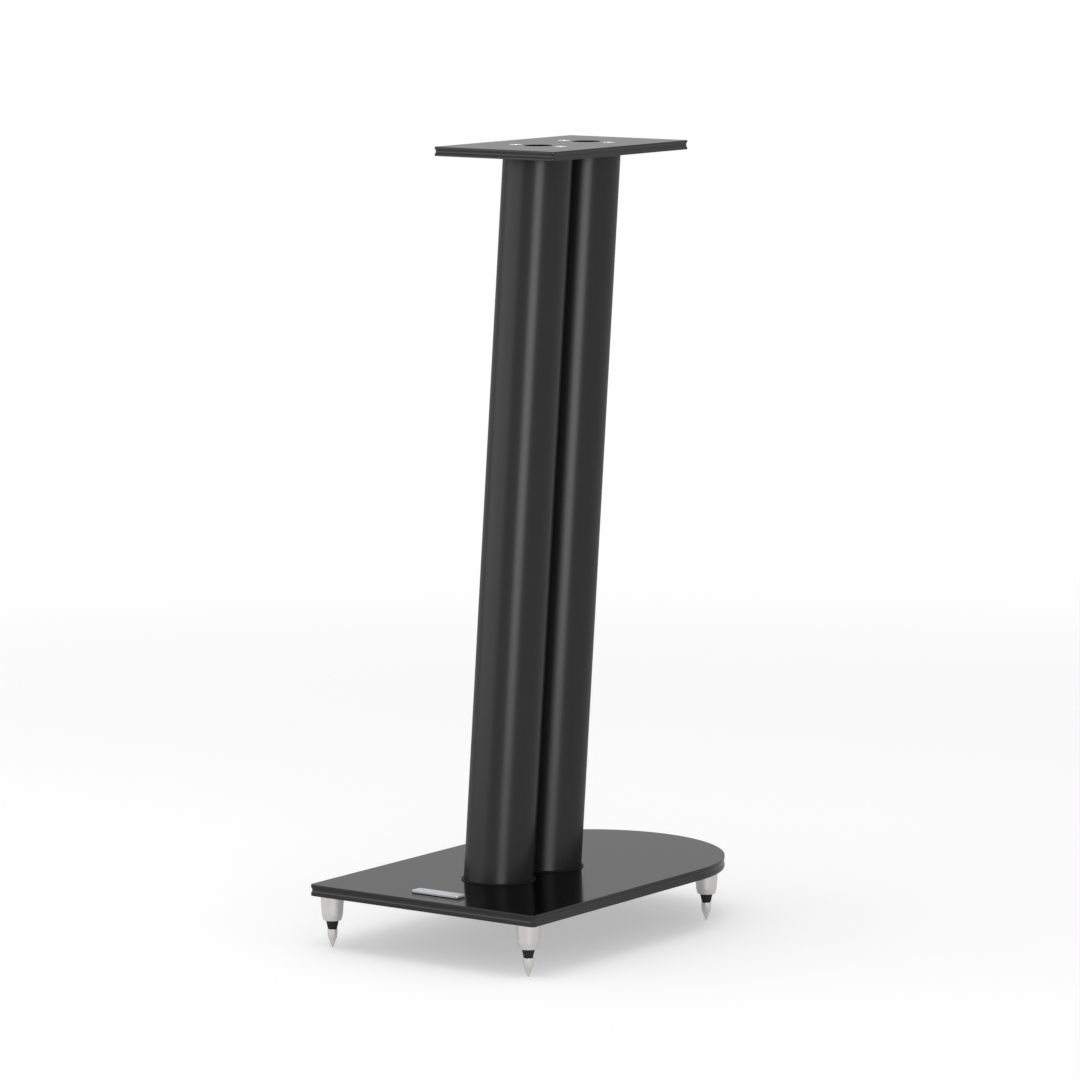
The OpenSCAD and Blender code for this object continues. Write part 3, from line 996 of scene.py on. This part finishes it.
class SPEAKERSTAND_OT_set_stage(bpy.types.Operator):
    """Set the pale floor, the white background, the soft lights and the camera"""

    bl_idname = "speakerstand.set_stage"
    bl_label = "Stage"

    view_azimuth = math.radians(35.397)
    view_elevation = math.radians(7.622)
    view_target = Vector((0.0831, -0.1269, 0.3636))
    view_distance = 4.61388
    view_lens = 183.19  # millimetres
    view_sensor = 36  # millimetres wide
    floor_radius = 6
    fade_from = 1.0  # distance from the floor's middle at which it starts to fade
    fade_to = 2.4  # distance at which it has gone

    def execute(self, context):
        scene = context.scene
        self.set_floor(scene)
        self.set_world(scene)
        self.set_lights(scene)
        self.set_camera(scene)
        scene.view_settings.view_transform = "Standard"
        return {"FINISHED"}

    def away(self, azimuth, elevation):
        """The direction from the stand to a place round it."""
        level = math.cos(elevation)
        return Vector(
            (math.sin(azimuth) * level, -math.cos(azimuth) * level, math.sin(elevation))
        )

    def set_floor(self, scene):
        """A round sheet of white paper that fades into the background."""
        bm = bmesh.new()
        bmesh.ops.create_circle(bm, cap_ends=True, segments=96, radius=self.floor_radius)
        mesh = bpy.data.meshes.new("floor")
        bm.to_mesh(mesh)
        bm.free()
        mesh.materials.append(
            paper_sweep(
                scene.stand_colours.floor, scene.stand_studio.floor_lift, self.fade_from,
                self.fade_to,
            )
        )
        floor = bpy.data.objects.new("floor", mesh)
        scene.collection.objects.link(floor)

    def set_world(self, scene):
        """White where it is seen or mirrored, and a plain level where it lights the stand."""
        world = bpy.data.worlds.new("studio")
        scene.world = world
        world.use_nodes = True
        tree = world.node_tree
        tree.nodes.clear()
        path = add_node(tree, "ShaderNodeLightPath")
        white = (1, 1, 1, 1)
        light = add_node(
            tree, "ShaderNodeBackground", {"Color": white, "Strength": scene.stand_studio.ambient}
        )
        shown = add_node(tree, "ShaderNodeBackground", {"Color": white, "Strength": 1.0})
        both = add_node(
            tree, "ShaderNodeMixShader",
            {0: seen_or_mirrored(tree, path), 1: light.outputs[0], 2: shown.outputs[0]},
        )
        add_node(tree, "ShaderNodeOutputWorld", {"Surface": both.outputs[0]})

    def set_lights(self, scene):
        """Three large soft lights: at the left, near the camera and overhead."""
        studio = scene.stand_studio
        self.add_light(
            scene, "key", studio.key, turned=-80, away=2.6, height=0.75, aim=0.75, wide=3.2, tall=1.6
        )
        self.add_light(
            scene, "front", studio.front, turned=8, away=5, height=0.75, aim=0.75, wide=2.1, tall=1.4
        )
        self.add_light(
            scene, "overhead", studio.overhead, turned=-20, away=0.5, height=2.9, aim=0.35, wide=1.8,
            tall=1.8,
        )

    def add_light(self, scene, name, brightness, turned, away, height, aim, wide, tall):
        """A rectangular light at a height, turned round the stand from the camera by degrees. It
        faces a height over the middle of the floor."""
        lamp = bpy.data.lights.new(name, "AREA")
        lamp.shape = "RECTANGLE"
        lamp.size, lamp.size_y = wide, tall
        lamp.energy = brightness * math.pi * wide * tall
        light = bpy.data.objects.new(name, lamp)
        way = self.away(self.view_azimuth + math.radians(turned), 0)
        light.location = away * way + height * UP
        line = aim * UP - light.location
        light.rotation_euler = line.to_track_quat("-Z", "Y").to_euler()
        light.visible_camera = False
        scene.collection.objects.link(light)

    def set_camera(self, scene):
        """The photograph's own place, height and lens."""
        lens = bpy.data.cameras.new("camera")
        lens.sensor_fit = "HORIZONTAL"
        lens.sensor_width = self.view_sensor
        lens.lens = self.view_lens
        lens.clip_end = 100
        camera = bpy.data.objects.new("camera", lens)
        way = self.away(self.view_azimuth, self.view_elevation)
        camera.location = self.view_target + self.view_distance * way
        camera.rotation_euler = (-way).to_track_quat("-Z", "Y").to_euler()
        scene.collection.objects.link(camera)
        scene.camera = camera


# Panel


OPERATORS = (
    SPEAKERSTAND_OT_set_stage,
    SPEAKERSTAND_OT_make_plates,
    SPEAKERSTAND_OT_make_columns,
    SPEAKERSTAND_OT_make_column_rings,
    SPEAKERSTAND_OT_make_screws,
    SPEAKERSTAND_OT_dress_plugs,
    SPEAKERSTAND_OT_make_badge,
    SPEAKERSTAND_OT_make_feet,
    SPEAKERSTAND_OT_make_collars,
    SPEAKERSTAND_OT_make_spikes,
)
SETTINGS = (
    ("stand_sizes", StandSizes),
    ("stand_colours", StandColours),
    ("stand_studio", StandStudio),
)


class SPEAKERSTAND_PT_panel(bpy.types.Panel):
    """Makes the stand's pieces and shows their sizes, colours and light"""

    bl_label = "Speaker stand"
    bl_idname = "SPEAKERSTAND_PT_panel"
    bl_space_type = "VIEW_3D"
    bl_region_type = "UI"
    bl_category = "Speaker stand"

    def draw(self, context):
        column = self.layout.column()
        for operator in OPERATORS:
            column.operator(operator.bl_idname)
        for name, group in SETTINGS:
            box = self.layout.box()
            for setting in group.__annotations__:
                box.prop(getattr(context.scene, name), setting)


def register():
    for name, group in SETTINGS:
        bpy.utils.register_class(group)
        setattr(bpy.types.Scene, name, PointerProperty(type=group))
    for operator in OPERATORS:
        bpy.utils.register_class(operator)
    bpy.utils.register_class(SPEAKERSTAND_PT_panel)


def unregister():
    bpy.utils.unregister_class(SPEAKERSTAND_PT_panel)
    for operator in reversed(OPERATORS):
        bpy.utils.unregister_class(operator)
    for name, group in reversed(SETTINGS):
        delattr(bpy.types.Scene, name)
        bpy.utils.unregister_class(group)


def main():
    register()
    bpy.ops.speakerstand.set_stage()
    bpy.ops.speakerstand.make_plates()
    bpy.ops.speakerstand.make_columns()
    bpy.ops.speakerstand.make_column_rings()
    bpy.ops.speakerstand.make_screws()
    bpy.ops.speakerstand.dress_plugs()
    bpy.ops.speakerstand.make_badge()
    bpy.ops.speakerstand.make_feet()
    bpy.ops.speakerstand.make_collars()
    bpy.ops.speakerstand.make_spikes()


if __name__ == "__main__":
    main()
